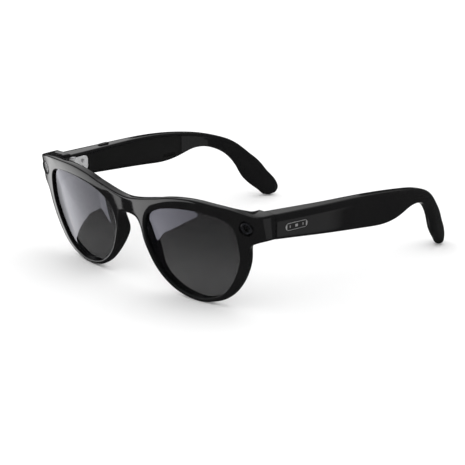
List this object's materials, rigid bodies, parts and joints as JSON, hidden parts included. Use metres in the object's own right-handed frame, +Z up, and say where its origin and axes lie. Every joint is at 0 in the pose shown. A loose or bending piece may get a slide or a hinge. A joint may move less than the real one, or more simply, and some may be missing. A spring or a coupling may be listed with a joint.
{
  "type": "smart glasses",
  "caption": "Smart glasses with a camera and a recording light in the front, tinted lenses, and folding temples that hold battery, boards, speakers and controls.",
  "frame": {"origin": "under the middle of the glasses, on the surface that the rims and temple tips rest on", "axes": "+Z up, the front looks along -Y, +X towards the wearer's left"},
  "size_m": [0.151, 0.1495, 0.0468],
  "materials": {
    "frame_black": "polished black",
    "cover_black": "fine satin black",
    "lens_tint": "grey gradient tint",
    "window_dark": "dark optical window",
    "ring_metal": "dark anodised",
    "hinge_steel": "satin steel",
    "screw_steel": "turned steel",
    "badge_metal": "polished",
    "contact_gold": "gold plated",
    "board_green": "circuit board laminate",
    "flex_amber": "flexible circuit film",
    "cell_silver": "foil pouch",
    "can_silver": "tinned shield",
    "module_black": "moulded module",
    "mesh_black": "woven mesh",
    "button_black": "polished black",
    "guide_clear": "frosted clear"
  },
  "bodies": {
    "front": {"front_frame": "frame_black", "lens_left": "lens_tint", "lens_right": "lens_tint", "brow_cover": "cover_black", "front_flex": "flex_amber", "bridge_microphone": "can_silver", "charging_contacts": "contact_gold", "camera_bezel": "ring_metal", "camera_window": "window_dark", "camera_module": "module_black", "light_bezel": "ring_metal", "light_window": "window_dark", "light_guide": "guide_clear", "light_board": "board_green", "hinge_front_leaf_left": "hinge_steel", "hinge_front_leaf_right": "hinge_steel", "hinge_pin_left": "screw_steel", "hinge_pin_right": "screw_steel", "hinge_front_screws": "screw_steel"},
    "left_temple": {"temple_shell_left": "frame_black", "temple_cover_left": "cover_black", "hinge_temple_leaf_left": "hinge_steel", "temple_screws_left": "screw_steel", "battery": "cell_silver", "battery_board": "board_green", "speaker_left": "module_black", "speaker_mesh_left": "mesh_black", "microphones_left": "can_silver", "antenna_left": "flex_amber", "badge_left": "badge_metal", "switch_base": "module_black"},
    "right_temple": {"temple_shell_right": "frame_black", "temple_cover_right": "cover_black", "hinge_temple_leaf_right": "hinge_steel", "temple_screws_right": "screw_steel", "main_board": "board_green", "shield_can": "can_silver", "touch_pad": "flex_amber", "speaker_right": "module_black", "speaker_mesh_right": "mesh_black", "microphones_right": "can_silver", "antenna_right": "flex_amber", "badge_right": "badge_metal", "capture_switch": "module_black"},
    "power_switch": {"power_switch": "button_black"},
    "capture_button": {"capture_button": "button_black"}
  },
  "joints": [
    {"name": "left_temple_fold", "type": "hinge", "parent": "front", "child": "left_temple", "pos_m": [0.061, -0.05397, 0.0379], "axis": [0, 0, 1], "range_deg": [0, 88]},
    {"name": "right_temple_fold", "type": "hinge", "parent": "front", "child": "right_temple", "pos_m": [-0.061, -0.05397, 0.0379], "axis": [0, 0, -1], "range_deg": [0, 68]},
    {"name": "capture_button_press", "type": "slide", "parent": "right_temple", "child": "capture_button", "axis": [0, 0, -1], "range_m": [0, 0.0004], "stiffness_N_per_m": 400, "springref_m": -0.001},
    {"name": "power_switch_slide", "type": "slide", "parent": "left_temple", "child": "power_switch", "axis": [0.1475, 0.9891, 0], "range_m": [0, 0.002]}
  ]
}
